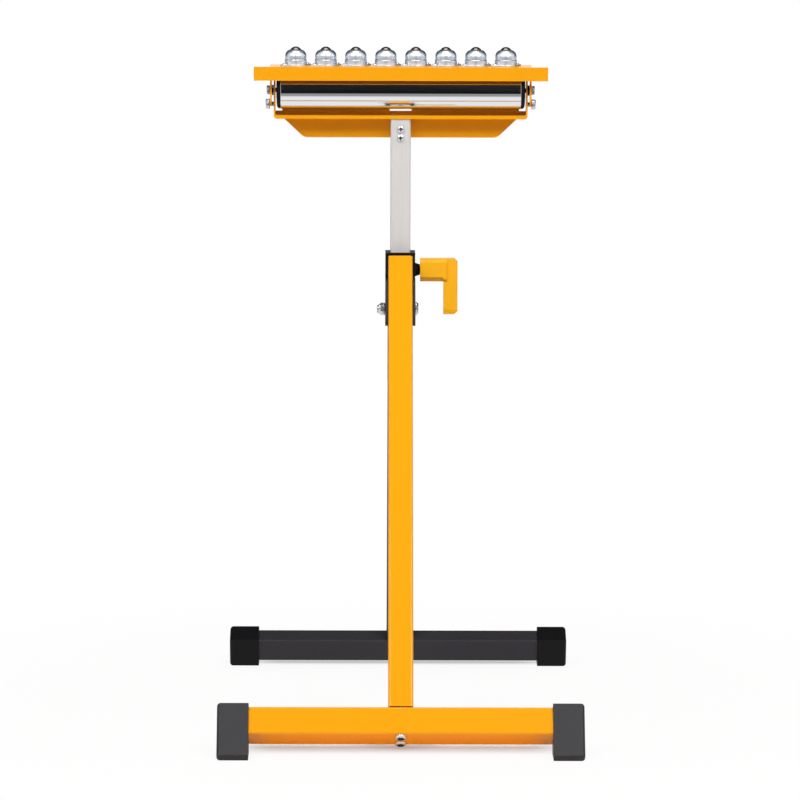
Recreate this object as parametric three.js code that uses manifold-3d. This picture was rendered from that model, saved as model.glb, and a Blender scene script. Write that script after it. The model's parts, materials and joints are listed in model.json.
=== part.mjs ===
// Folding roller stand: a telescoping mast between two hinged legs, with a
// chrome roller and a flip-over plate of ball units on top.
// Millimetres, +Z up, front of the stand towards -Y, floor at z = 0.

import * as THREE from 'three';
import { mergeVertices } from 'three/addons/utils/BufferGeometryUtils.js';
import Module from 'manifold-3d';

// Fits and clearances. OVERCUT is how far joined or cutting solids run past a face.
const GAP = 0.3;
const SLIDE_GAP = 0.5;
const OVERCUT = 1;

// Square steel tubes.
const MAST = 25;
const MAST_WALL = 1.5;
const LEG = 30;
const LEG_WALL = 1.5;
const FRONT_BAR = 35;
const REAR_BAR = 30;
const BAR_WALL = 1.5;
const TUBE_ROUND = 3;

// Overall stance.
const FOOT_WIDTH = 435.5;
const PIVOT_Z = 498;
const FRONT_LEAN = 33.5;
const REAR_LEAN = 19.7;
const FRONT_LEG_ABOVE = 65.5;
const REAR_LEG_ABOVE = 63;
const REAR_PIVOT_DROP = 16;
const FRONT_BAR_Z = 34.5;
const REAR_BAR_Z = 25.2;

// Sleeve, hinge plates and collar.
const SLEEVE_WALL = 2.5;
const SLEEVE = MAST + 2 * SLIDE_GAP + 2 * SLEEVE_WALL;
const SLEEVE_BOTTOM = 400;
const PLATE = 3;
const PLATE_UP = 33;
const PLATE_DOWN = 21;
const PLATE_END = 18;
const PLATE_ROUND = 10;
const COLLAR = SLEEVE + 2 * PLATE;
const COLLAR_HEIGHT = 30;
const COLLAR_RIM = 3;
const LEG_STOP = 0.4;
const BOSS_REACH = 6;
const BOSS_ROOT_R = 9;
const BOSS_TIP_R = 6.5;

// Clamp knob and screw.
const SCREW_R = 4;
const KNOB_UP = 7.5;
const HUB_HALF = 14;
const HUB_DEPTH = 25;
const HUB_ROUND = 5;
const HUB_LENGTH = 29;
const ARM_WIDTH = 17.5;
const ARM_DEPTH = 18;
const ARM_DROP = 55;
const ARM_CUT = 4;
const HUB_INTO_ARM = 4;
const SCREW_END_WALL = 6;

// Mast and head bracket.
const MAST_TOP = 729.4;
const MAST_BOTTOM = 180;
const SHEET = 2;
const FLOOR_Z = MAST_TOP + GAP;
const BRACKET_HALF = 157;
const BRACKET_ROUND = 4;
const LIP_DROP = 2.4;
const FLANGE_DROP = 27.3;
const FLANGE_INSET = 10;
const FLANGE_TOP_HALF = BRACKET_HALF - FLANGE_INSET;
const FLANGE_SLOPE = 27;
const FLANGE_LOW_HALF = FLANGE_TOP_HALF - FLANGE_SLOPE;
const FLANGE_SHOULDER = 1.7;
const TONGUE_HALF = 10;
const TONGUE_DROP = 37.7;
const UPSTAND_RISE = 13.3;
const UPSTAND_ROOT = 5.8;
const UPSTAND_INSET = 10;
const UPSTAND_HALF = BRACKET_HALF - UPSTAND_INSET;
const UPSTAND_NOTCH = 13.5;
const HEAD_BOLT_DROP = 14.7;
const HEAD_BOLT_PITCH = 11;

// Roller, its stub axles and the lock bolts.
const ROLLER_R = 23.2;
const ROLLER_WALL = 2;
const ROLLER_CAP = 5;
const ROLLER_PLAY = 1.2;
const ROLLER_HALF = BRACKET_HALF - SHEET - ROLLER_PLAY - ROLLER_CAP - GAP;
const ROLLER_CAP_DEPTH = 14;
const AXLE_DEPTH = 10;
const AXLE_UP = 32.9;
const AXLE_FORWARD = 8;
const AXLE_R = 3;
const AXLE_HEAD = 10;
const AXLE_HEAD_THICK = 4;
const SPACER_R = 6.5;
const LOCK_DROP = 17.3;
const LOCK_R = 3;
const LOCK_HEAD_R = 6.6;
const LOCK_HEAD_THICK = 5.2;

// Ball plate and ball units.
const EAR_GAP = 2.5;
const EAR_FRONT = -12;
const EAR_BACK = 9;
const EAR_DOWN = 19;
const EAR_ROUND = 8;
const EAR_REST = 0.5;
const PLATE_RISE = 28.4;
const PLATE_BACK = 12;
const STRIP_FRONT = -36;
const STRIP_OVERHANG = 19.8;
const STRIP_HEIGHT = 17;
const BALLS = 8;
const BALL_MARGIN = 27.15;
const BALL_PITCH = 2 * (BRACKET_HALF - BALL_MARGIN) / (BALLS - 1);
const BALL_Y = -8;
const BALL_R = 8;
const BALL_UP = 15.5;
const CUP_R = 13.2;
const CUP_SHOULDER = 8;
const CUP_RIM = 4.8;
const CUP_LIP = 0.6;
const FLANGE_THICK = 1.6;
const FLANGE_REACH = 17;
const FLANGE_EAR_R = 5;
const FLANGE_HOLE_R = 1.7;
const FLANGE_TURN = 35;

// Foot caps.
const CAP_WALL = 3.2;
const CAP_WIDTH = 37.5;
const CAP_END = 4;
const TOE = 7;
const TOE_CUT = 4;

// Bolts.
const M8_R = 4;
const M8_HEAD = 12;
const M8_HEAD_THICK = 3.4;
const M8_NUT_THICK = 8;
const BOLT_END = 2;
const M6_R = 3;
const HEAD_DOME_R = 4.8;
const HEAD_DOME = 3.4;
const FOOT_DOME_R = 7;
const FOOT_DOME = 4;
const M6_NUT = 8.5;
const M6_NUT_THICK = 5;
const FOOT_BOLT_EDGE = 3.5;
const FOOT_BOLT_PITCH = LEG - 2 * LEG_WALL - 2 * FOOT_BOLT_EDGE;
const PLUG = 20;
const PLUG_ROUND = 1.5;
const PLUG_LID = 3;

const wasm = await Module();
wasm.setup();
const RAD = Math.PI / 180;

// Axis maps: a flat shape's x, y and thickness go to the named world axes.
const ALONG_X = new THREE.Matrix4().makeBasis(
  new THREE.Vector3(0, 1, 0), new THREE.Vector3(0, 0, 1), new THREE.Vector3(1, 0, 0));
const ALONG_Y = new THREE.Matrix4().makeBasis(
  new THREE.Vector3(1, 0, 0), new THREE.Vector3(0, 0, 1), new THREE.Vector3(0, -1, 0));

function body(geometry) {
  const g = geometry.clone();
  g.deleteAttribute('normal');
  g.deleteAttribute('uv');
  const m = mergeVertices(g, 1e-4);
  return new wasm.Manifold(new wasm.Mesh({
    numProp: 3,
    vertProperties: new Float32Array(m.attributes.position.array),
    triVerts: new Uint32Array(m.index.array),
  }));
}

function geometryOf(solid) {
  const m = solid.getMesh();
  const g = new THREE.BufferGeometry();
  g.setAttribute('position', new THREE.BufferAttribute(new Float32Array(m.vertProperties), 3));
  g.setIndex(new THREE.BufferAttribute(new Uint32Array(m.triVerts), 1));
  const flat = g.toNonIndexed();
  flat.computeVertexNormals();
  return flat;
}

function box(x0, x1, y0, y1, z0, z1) {
  const g = new THREE.BoxGeometry(x1 - x0, y1 - y0, z1 - z0);
  g.translate((x0 + x1) / 2, (y0 + y1) / 2, (z0 + z1) / 2);
  return body(g);
}

function slab(shape, thick, map, curve = 4) {
  const g = new THREE.ExtrudeGeometry(shape, {
    depth: thick, bevelEnabled: false, curveSegments: curve, steps: 1,
  });
  if (map) {
    g.applyMatrix4(map);
  }
  return g;
}

function polygon(points) {
  return new THREE.Shape(points.map(([a, b]) => new THREE.Vector2(a, b)));
}

function roundRect(half, other, r, path = new THREE.Shape()) {
  path.moveTo(-half + r, -other);
  path.lineTo(half - r, -other);
  path.absarc(half - r, -other + r, r, -Math.PI / 2, 0, false);
  path.lineTo(half, other - r);
  path.absarc(half - r, other - r, r, 0, Math.PI / 2, false);
  path.lineTo(-half + r, other);
  path.absarc(-half + r, other - r, r, Math.PI / 2, Math.PI, false);
  path.lineTo(-half, -other + r);
  path.absarc(-half + r, -other + r, r, Math.PI, 1.5 * Math.PI, false);
  return path;
}

// A square tube from 0 to its length along the shape's thickness.
function tubeGeometry(size, wall, length, map) {
  const shape = roundRect(size / 2, size / 2, TUBE_ROUND);
  const bore = size / 2 - wall;
  shape.holes.push(roundRect(bore, bore, TUBE_ROUND - wall, new THREE.Path()));
  return slab(shape, length, map, 3);
}

function rodX(r, x0, x1, y, z, sides = 20) {
  const g = new THREE.CylinderGeometry(r, r, x1 - x0, sides);
  g.rotateZ(-Math.PI / 2);
  g.translate((x0 + x1) / 2, y, z);
  return body(g);
}

function rodY(r, y0, y1, x, z, sides = 20) {
  const g = new THREE.CylinderGeometry(r, r, y1 - y0, sides);
  g.translate(x, (y0 + y1) / 2, z);
  return body(g);
}

function rodZ(r, z0, z1, x, y, sides = 20) {
  const g = new THREE.CylinderGeometry(r, r, z1 - z0, sides);
  g.rotateX(Math.PI / 2);
  g.translate(x, y, (z0 + z1) / 2);
  return body(g);
}

// Lathe turned about the Z axis from [radius, height] pairs.
function turned(profile, sides = 24) {
  const g = new THREE.LatheGeometry(profile.map(([r, h]) => new THREE.Vector2(r, h)), sides);
  g.rotateX(Math.PI / 2);
  return g;
}

const flats = (across) => across / Math.sqrt(3);

// Domed bolt head standing on z = 0.
function dome(r, high) {
  return turned([[0, 0], [r, 0], [r * 0.88, high * 0.5], [r * 0.55, high * 0.86], [0, high]], 20);
}

const paint = (color, roughness, metalness) =>
  new THREE.MeshStandardMaterial({ color, roughness, metalness });
const YELLOW = paint(0xf5a60a, 0.42, 0.0);
const BLACK_PAINT = paint(0x1c1b1f, 0.45, 0.0);
const BLACK_PLASTIC = paint(0x232225, 0.55, 0.0);
const CAP_PLASTIC = paint(0x3d3c40, 0.6, 0.0);
const ZINC = paint(0xc9ccd1, 0.32, 1.0);
const MAST_STEEL = paint(0xcfcdce, 0.38, 1.0);
const CHROME = paint(0xe4e5e8, 0.08, 1.0);

const part = new THREE.Group();
part.name = 'roller_stand';

function add(name, solid, material) {
  const geometry = solid.isBufferGeometry ? solid : geometryOf(solid);
  const mesh = new THREE.Mesh(geometry, material);
  mesh.name = name;
  part.add(mesh);
}

// Derived positions.
const FRONT_SIN = Math.sin(FRONT_LEAN * RAD);
const FRONT_COS = Math.cos(FRONT_LEAN * RAD);
const REAR_SIN = Math.sin(REAR_LEAN * RAD);
const REAR_COS = Math.cos(REAR_LEAN * RAD);
const PLATE_TOP = PIVOT_Z + PLATE_UP;
const COLLAR_BOTTOM = PLATE_TOP + GAP;
const COLLAR_TOP = COLLAR_BOTTOM + COLLAR_HEIGHT;
const SLEEVE_TOP = COLLAR_TOP - COLLAR_RIM - GAP;
const FRONT_PIVOT_Y = -(COLLAR / 2 + LEG_STOP + (LEG / 2) * FRONT_COS + FRONT_LEG_ABOVE * FRONT_SIN);
const REAR_PIVOT_Z = PIVOT_Z - REAR_PIVOT_DROP;
const REAR_PIVOT_Y = COLLAR / 2 + LEG_STOP + (LEG / 2) * REAR_COS + REAR_LEG_ABOVE * REAR_SIN;
const PIVOTS = [['front', FRONT_PIVOT_Y, PIVOT_Z], ['rear', REAR_PIVOT_Y, REAR_PIVOT_Z]];
const KNOB_Z = COLLAR_BOTTOM + KNOB_UP;
const AXLE_Y = -AXLE_FORWARD;
const AXLE_Z = FLOOR_Z + AXLE_UP;
const LOCK_Z = AXLE_Z - LOCK_DROP;
const WALL_BACK = MAST / 2 + SHEET;
const EAR_IN = BRACKET_HALF + EAR_GAP;
const EAR_OUT = EAR_IN + SHEET;
const STRIP_HALF = EAR_OUT + STRIP_OVERHANG;
const PLATE_LOW = AXLE_Z + PLATE_RISE;
const PLATE_HIGH = PLATE_LOW + SHEET;

// Sleeve: the fixed square tube the mast slides in, drilled for the clamp screw.
{
  const tube = body(tubeGeometry(SLEEVE, SLEEVE_WALL, SLEEVE_TOP - SLEEVE_BOTTOM)
    .translate(0, 0, SLEEVE_BOTTOM));
  add('sleeve', tube.subtract(rodX(SCREW_R + GAP, 0, SLEEVE, 0, KNOB_Z)), BLACK_PAINT);
}

// Hinge plates: welded to both sides of the sleeve, the legs swing between them.
// Their ends slope like the open legs.
{
  const r = PLATE_ROUND;
  const front = FRONT_PIVOT_Y - PLATE_END + r;
  const back = REAR_PIVOT_Y + PLATE_END - r;
  const high = PLATE_TOP - r;
  const frontLow = PIVOT_Z - PLATE_DOWN + r;
  const backLow = REAR_PIVOT_Z - PLATE_DOWN + r;
  const corners = [[front, frontLow], [back, backLow],
    [front + (high - frontLow) * FRONT_SIN / FRONT_COS, high],
    [back - (high - backLow) * REAR_SIN / REAR_COS, high]];
  for (const [side, x0] of [['left', -SLEEVE / 2 - PLATE], ['right', SLEEVE / 2]]) {
    let plate = wasm.Manifold.hull(corners.map(([y, z]) => rodX(r, x0, x0 + PLATE, y, z)));
    for (const [, y, z] of PIVOTS) {
      plate = plate.subtract(rodX(M8_R + GAP, x0 - OVERCUT, x0 + PLATE + OVERCUT, y, z));
    }
    add(`hinge_plate_${side}`, plate, BLACK_PAINT);
  }
}

// Collar: moulded cap over the sleeve with the threaded boss for the clamp.
{
  const outer = slab(roundRect(COLLAR / 2, COLLAR / 2, TUBE_ROUND), COLLAR_HEIGHT)
    .translate(0, 0, COLLAR_BOTTOM);
  const seat = SLEEVE / 2 + GAP;
  const mouth = MAST / 2 + SLIDE_GAP;
  const cone = new THREE.CylinderGeometry(BOSS_TIP_R, BOSS_ROOT_R, BOSS_REACH + OVERCUT, 24);
  cone.rotateZ(-Math.PI / 2);
  cone.translate(COLLAR / 2 + (BOSS_REACH - OVERCUT) / 2, 0, KNOB_Z);
  const collar = body(outer).add(body(cone))
    .subtract(box(-seat, seat, -seat, seat, COLLAR_BOTTOM - OVERCUT, SLEEVE_TOP + GAP))
    .subtract(box(-mouth, mouth, -mouth, mouth, COLLAR_BOTTOM, COLLAR_TOP + OVERCUT))
    .subtract(box(0, COLLAR / 2 + GAP, -BOSS_ROOT_R, BOSS_ROOT_R, KNOB_Z - 2 * BOSS_ROOT_R, COLLAR_BOTTOM))
    .subtract(rodX(SCREW_R + GAP, 0, COLLAR, 0, KNOB_Z));
  add('collar', collar, BLACK_PLASTIC);
}

// Leg pivots: one through bolt and lock nut for each leg.
for (const [name, y, z] of PIVOTS) {
  const face = COLLAR / 2 + GAP;
  const reach = face + M8_NUT_THICK + BOLT_END;
  const bolt = rodX(M8_R, -reach, face + OVERCUT, y, z)
    .add(rodX(flats(M8_HEAD), face, face + M8_HEAD_THICK, y, z, 6));
  add(`${name}_pivot_bolt`, bolt, ZINC);
  const nut = rodX(flats(M8_HEAD), -face - M8_NUT_THICK, -face, y, z, 6)
    .subtract(rodX(M8_R + GAP, -reach, 0, y, z));
  add(`${name}_pivot_nut`, nut, ZINC);
}

// One leg with its foot bar, caps, plug and bolts. Built upright about its
// pivot, then leaned: out is -1 for the front leg and +1 for the rear one.
function leg(name, out, pivotY, pivotZ, lean, above, bar, barZ, legPaint) {
  const length = (pivotZ - barZ) / Math.cos(lean * RAD);
  const end = -length + bar / 2 + GAP;
  const pose = new THREE.Matrix4().makeRotationX(out * lean * RAD);
  pose.setPosition(0, pivotY, pivotZ);
  const place = (solid) => geometryOf(solid).applyMatrix4(pose);
  const half = FOOT_WIDTH / 2 - CAP_END - GAP;
  const boltY = [-FOOT_BOLT_PITCH / 2, FOOT_BOLT_PITCH / 2];

  const tube = body(tubeGeometry(LEG, LEG_WALL, above - end).translate(0, 0, end))
    .subtract(rodX(M8_R + GAP, -LEG, LEG, 0, 0));
  add(`${name}_leg`, place(tube), legPaint);

  const inner = LEG / 2 - LEG_WALL - GAP;
  let plug = body(slab(roundRect(inner, inner, PLUG_ROUND), PLUG, null, 2).translate(0, 0, end));
  let beam = body(tubeGeometry(bar, BAR_WALL, 2 * half, ALONG_X).translate(-half, 0, -length));
  for (const y of boltY) {
    plug = plug.subtract(rodZ(M6_R + GAP, end - OVERCUT, end + PLUG + OVERCUT, 0, y));
    beam = beam.subtract(rodZ(M6_R + GAP, -length - bar, -length + bar, 0, y));
  }
  add(`${name}_leg_plug`, place(plug), ZINC);
  add(`${name}_foot_bar`, place(beam), legPaint);

  boltY.forEach((y, i) => {
    const under = -length - bar / 2 - GAP;
    const bolt = body(dome(FOOT_DOME_R, FOOT_DOME).rotateX(Math.PI).translate(0, y, under))
      .add(rodZ(M6_R, under - OVERCUT, end + PLUG - BOLT_END, 0, y));
    add(`${name}_foot_bolt_${i + 1}`, place(bolt), ZINC);
  });

  const s = Math.sin(lean * RAD);
  const c = Math.cos(lean * RAD);
  const h = bar / 2 + CAP_WALL;
  const mid = Math.abs(pivotY) + length * s;
  const outerTop = [mid + h * c - h * s, barZ + h * s + h * c];
  const innerTop = [mid - h * c - h * s, barZ - h * s + h * c];
  const run = (outerTop[1] - TOE) / c;
  const toe = [outerTop[0] + run * s, TOE];
  const heel = [innerTop[0] + (innerTop[1] / c) * s, 0];
  const ring = [outerTop, toe, [toe[0] - TOE_CUT, 0], heel, innerTop]
    .map(([w, z]) => [out * w, z]);
  const outline = polygon(out < 0 ? ring : ring.reverse());
  const seat = bar + 2 * GAP;
  for (const [side, sx] of [['left', -1], ['right', 1]]) {
    const x0 = sx < 0 ? -FOOT_WIDTH / 2 : FOOT_WIDTH / 2 - CAP_WIDTH;
    const block = body(slab(outline, CAP_WIDTH, ALONG_X).translate(x0, 0, 0));
    const p0 = sx < 0 ? -half - GAP : 0;
    const pocket = new THREE.BoxGeometry(half + GAP, seat, seat);
    pocket.translate(p0 + (half + GAP) / 2, 0, -length).applyMatrix4(pose);
    add(`${name}_foot_cap_${side}`, block.subtract(body(pocket)), CAP_PLASTIC);
  }
}
leg('front', -1, FRONT_PIVOT_Y, PIVOT_Z, FRONT_LEAN, FRONT_LEG_ABOVE, FRONT_BAR, FRONT_BAR_Z, YELLOW);
leg('rear', 1, REAR_PIVOT_Y, REAR_PIVOT_Z, REAR_LEAN, REAR_LEG_ABOVE, REAR_BAR, REAR_BAR_Z, BLACK_PAINT);

// Clamp: a lever knob on a screw that presses on the side of the mast.
{
  const hub = COLLAR / 2 + BOSS_REACH + GAP;
  const arm = hub + HUB_LENGTH;
  const tip = arm + ARM_WIDTH;
  const depth = ARM_DEPTH / 2;
  const top = HUB_HALF;
  const lever = polygon([[arm, -ARM_DROP], [tip - ARM_CUT, -ARM_DROP], [tip, -ARM_DROP + ARM_CUT],
    [tip, top - ARM_CUT], [tip - ARM_CUT, top], [arm, top]]);
  const blade = slab(lever, ARM_DEPTH, ALONG_Y).translate(0, depth, KNOB_Z);
  const socket = arm - SCREW_END_WALL;
  const grip = slab(roundRect(HUB_DEPTH / 2, HUB_HALF, HUB_ROUND), HUB_LENGTH + HUB_INTO_ARM, ALONG_X)
    .translate(hub, 0, KNOB_Z);
  const knob = body(grip).add(body(blade))
    .subtract(rodX(SCREW_R + GAP, hub - OVERCUT, socket + GAP, 0, KNOB_Z));
  add('clamp_knob', knob, YELLOW);
  add('clamp_screw', rodX(SCREW_R, MAST / 2 + GAP, socket, 0, KNOB_Z), ZINC);
}

// Mast: square tube with the two head bolts through its top end.
const HEAD_BOLTS = [['upper', FLOOR_Z - HEAD_BOLT_DROP],
  ['lower', FLOOR_Z - HEAD_BOLT_DROP - HEAD_BOLT_PITCH]];
{
  let tube = body(tubeGeometry(MAST, MAST_WALL, MAST_TOP - MAST_BOTTOM)
    .translate(0, 0, MAST_BOTTOM));
  for (const [, z] of HEAD_BOLTS) {
    tube = tube.subtract(rodY(M6_R + GAP, -MAST, MAST, 0, z));
  }
  add('mast', tube, MAST_STEEL);
  const inner = MAST / 2 - MAST_WALL - GAP;
  const stem = slab(roundRect(inner, inner, PLUG_ROUND), PLUG, null, 2)
    .translate(0, 0, MAST_BOTTOM - OVERCUT);
  const lid = slab(roundRect(MAST / 2, MAST / 2, TUBE_ROUND), PLUG_LID, null, 3)
    .translate(0, 0, MAST_BOTTOM - PLUG_LID - GAP);
  add('mast_plug', body(stem).add(body(lid)), BLACK_PLASTIC);
}

// Head bracket: bent sheet with a floor, two side walls, a front lip, a low
// rear upstand notched in the middle, and a rear flange bolted to the mast.
{
  const r = BRACKET_ROUND;
  const b = BRACKET_HALF;
  const outer = new THREE.Shape();
  outer.moveTo(-b, AXLE_Z);
  outer.lineTo(-b, FLOOR_Z + r);
  outer.absarc(-b + r, FLOOR_Z + r, r, Math.PI, 1.5 * Math.PI, false);
  outer.lineTo(b - r, FLOOR_Z);
  outer.absarc(b - r, FLOOR_Z + r, r, 1.5 * Math.PI, 2 * Math.PI, false);
  outer.lineTo(b, AXLE_Z);
  outer.lineTo(b - SHEET, AXLE_Z);
  outer.lineTo(b - SHEET, FLOOR_Z + r);
  outer.absarc(b - r, FLOOR_Z + r, r - SHEET, 0, -0.5 * Math.PI, true);
  outer.lineTo(-b + r, FLOOR_Z + SHEET);
  outer.absarc(-b + r, FLOOR_Z + r, r - SHEET, -0.5 * Math.PI, -Math.PI, true);
  outer.lineTo(-b + SHEET, AXLE_Z);
  let bracket = body(slab(outer, 2 * WALL_BACK, ALONG_Y, 4).translate(0, WALL_BACK, 0));
  for (const x0 of [-b, b - SHEET]) {
    bracket = bracket.add(rodX(WALL_BACK, x0, x0 + SHEET, 0, AXLE_Z, 28));
  }
  const lip = new THREE.Shape();
  const edge = FLOOR_Z - LIP_DROP;
  lip.moveTo(-b, FLOOR_Z + SHEET);
  lip.lineTo(-b, edge + r);
  lip.absarc(-b + r, edge + r, r, Math.PI, 1.5 * Math.PI, false);
  lip.lineTo(b - r, edge);
  lip.absarc(b - r, edge + r, r, 1.5 * Math.PI, 2 * Math.PI, false);
  lip.lineTo(b, FLOOR_Z + SHEET);
  bracket = bracket.add(body(slab(lip, SHEET, ALONG_Y, 4).translate(0, SHEET - WALL_BACK, 0)));
  const low = FLOOR_Z - FLANGE_DROP;
  const shoulder = FLOOR_Z - FLANGE_SHOULDER;
  const root = FLOOR_Z + OVERCUT;
  const flange = polygon([[-FLANGE_LOW_HALF, low], [FLANGE_LOW_HALF, low],
    [FLANGE_TOP_HALF, shoulder], [FLANGE_TOP_HALF, root],
    [-FLANGE_TOP_HALF, root], [-FLANGE_TOP_HALF, shoulder]]);
  bracket = bracket.add(body(slab(flange, SHEET, ALONG_Y).translate(0, WALL_BACK, 0)))
    .add(box(-TONGUE_HALF, TONGUE_HALF, WALL_BACK - SHEET, WALL_BACK,
      FLOOR_Z - TONGUE_DROP, low + OVERCUT));
  bracket = bracket.add(box(-b + OVERCUT, b - OVERCUT, WALL_BACK - SHEET, WALL_BACK,
    FLOOR_Z, FLOOR_Z + UPSTAND_ROOT));
  for (const x0 of [-UPSTAND_HALF, UPSTAND_NOTCH]) {
    bracket = bracket.add(box(x0, x0 + UPSTAND_HALF - UPSTAND_NOTCH, WALL_BACK - SHEET, WALL_BACK,
      FLOOR_Z, FLOOR_Z + UPSTAND_RISE));
  }
  for (const [, z] of HEAD_BOLTS) {
    bracket = bracket.subtract(rodY(M6_R + GAP, 0, WALL_BACK + OVERCUT, 0, z));
  }
  bracket = bracket
    .subtract(rodX(AXLE_R + GAP, -b - OVERCUT, b + OVERCUT, AXLE_Y, AXLE_Z))
    .subtract(rodX(LOCK_R + GAP, -b - OVERCUT, b + OVERCUT, AXLE_Y, LOCK_Z));
  add('head_bracket', bracket, YELLOW);
}

// Head bolts and nuts.
for (const [name, z] of HEAD_BOLTS) {
  const front = -MAST / 2 - GAP;
  const back = WALL_BACK + GAP;
  const head = body(dome(HEAD_DOME_R, HEAD_DOME).rotateX(Math.PI / 2).translate(0, front, z));
  const bolt = head.add(rodY(M6_R, front - OVERCUT, back + M6_NUT_THICK + BOLT_END, 0, z));
  add(`head_bolt_${name}`, bolt, ZINC);
  const nut = rodY(flats(M6_NUT), back, back + M6_NUT_THICK, 0, z, 6)
    .subtract(rodY(M6_R + GAP, 0, back + 2 * M6_NUT_THICK, 0, z));
  add(`head_nut_${name}`, nut, ZINC);
}

// Roller: chromed tube on two flanged end caps that turn on stub bolts.
{
  const tube = rodX(ROLLER_R, -ROLLER_HALF, ROLLER_HALF, AXLE_Y, AXLE_Z, 40)
    .subtract(rodX(ROLLER_R - ROLLER_WALL, -BRACKET_HALF, BRACKET_HALF, AXLE_Y, AXLE_Z, 40));
  add('roller_tube', tube, CHROME);
  for (const [side, sx] of [['left', -1], ['right', 1]]) {
    const span = (a, b) => (sx < 0 ? [-b, -a] : [a, b]);
    const [f0, f1] = span(ROLLER_HALF + GAP, ROLLER_HALF + GAP + ROLLER_CAP);
    const [h0, h1] = span(ROLLER_HALF - ROLLER_CAP_DEPTH, ROLLER_HALF + OVERCUT);
    const cap = rodX(ROLLER_R - GAP, f0, f1, AXLE_Y, AXLE_Z, 36)
      .add(rodX(ROLLER_R - ROLLER_WALL - GAP, h0, h1, AXLE_Y, AXLE_Z, 36))
      .subtract(rodX(AXLE_R + GAP, -BRACKET_HALF, BRACKET_HALF, AXLE_Y, AXLE_Z));
    add(`roller_cap_${side}`, cap, BLACK_PLASTIC);
  }
}

// Stub axle bolts, spacers and lock bolts on both sides of the head.
for (const [side, sx] of [['left', -1], ['right', 1]]) {
  const span = (a, b) => (sx < 0 ? [-b, -a] : [a, b]);
  const face = EAR_OUT + GAP;
  const [a0, a1] = span(ROLLER_HALF - AXLE_DEPTH, face + OVERCUT);
  const [b0, b1] = span(face, face + AXLE_HEAD_THICK);
  const axle = rodX(AXLE_R, a0, a1, AXLE_Y, AXLE_Z)
    .add(rodX(flats(AXLE_HEAD), b0, b1, AXLE_Y, AXLE_Z, 6));
  add(`axle_bolt_${side}`, axle, ZINC);
  const [w0, w1] = span(BRACKET_HALF + GAP, EAR_IN - GAP);
  const spacer = rodX(SPACER_R, w0, w1, AXLE_Y, AXLE_Z, 24)
    .subtract(rodX(AXLE_R + GAP, w0 - OVERCUT, w1 + OVERCUT, AXLE_Y, AXLE_Z));
  add(`pivot_spacer_${side}`, spacer, BLACK_PLASTIC);
  const [l0, l1] = span(BRACKET_HALF - SHEET, face + OVERCUT);
  const [k0, k1] = span(face, face + LOCK_HEAD_THICK);
  const lock = rodX(LOCK_R, l0, l1, AXLE_Y, LOCK_Z)
    .add(rodX(LOCK_HEAD_R, k0, k1, AXLE_Y, LOCK_Z, 24));
  add(`lock_bolt_${side}`, lock, ZINC);
}

// Ball plate: bent sheet with a long front strip and two side ears. Each ear
// turns on a stub axle and is notched to rest against the front of a lock bolt.
{
  const deck = STRIP_FRONT + SHEET;
  let plate = box(-EAR_OUT, EAR_OUT, deck - OVERCUT, PLATE_BACK, PLATE_LOW, PLATE_HIGH)
    .add(box(-STRIP_HALF, STRIP_HALF, STRIP_FRONT, deck, PLATE_HIGH - STRIP_HEIGHT, PLATE_HIGH));
  const r = EAR_ROUND;
  const ear = new THREE.Shape();
  ear.moveTo(EAR_FRONT, PLATE_RISE + OVERCUT);
  ear.lineTo(EAR_FRONT, -EAR_DOWN + r);
  ear.absarc(EAR_FRONT + r, -EAR_DOWN + r, r, Math.PI, 1.5 * Math.PI, false);
  ear.lineTo(EAR_BACK - r, -EAR_DOWN);
  ear.absarc(EAR_BACK - r, -EAR_DOWN + r, r, 1.5 * Math.PI, 2 * Math.PI, false);
  ear.lineTo(EAR_BACK, PLATE_RISE + OVERCUT);
  const slot = LOCK_R + EAR_REST;
  const hook = new THREE.Shape();
  hook.absarc(0, 0, LOCK_DROP + EAR_DOWN, -0.5 * Math.PI, -0.05 * Math.PI, false);
  hook.absarc(0, 0, LOCK_DROP - slot, -0.05 * Math.PI, -0.5 * Math.PI, true);
  for (const x0 of [-EAR_OUT, EAR_IN]) {
    const blade = body(slab(ear, SHEET, ALONG_X, 4).translate(x0, AXLE_Y, AXLE_Z));
    const cut = body(slab(hook, SHEET + 2 * OVERCUT, ALONG_X, 10)
      .translate(x0 - OVERCUT, AXLE_Y, AXLE_Z));
    plate = plate.add(blade.subtract(cut)
      .subtract(rodX(slot, x0 - OVERCUT, x0 + SHEET + OVERCUT, AXLE_Y, LOCK_Z)));
  }
  plate = plate.subtract(rodX(AXLE_R + GAP, -STRIP_HALF, STRIP_HALF, AXLE_Y, AXLE_Z));
  add('ball_plate', plate, YELLOW);
}

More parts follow.
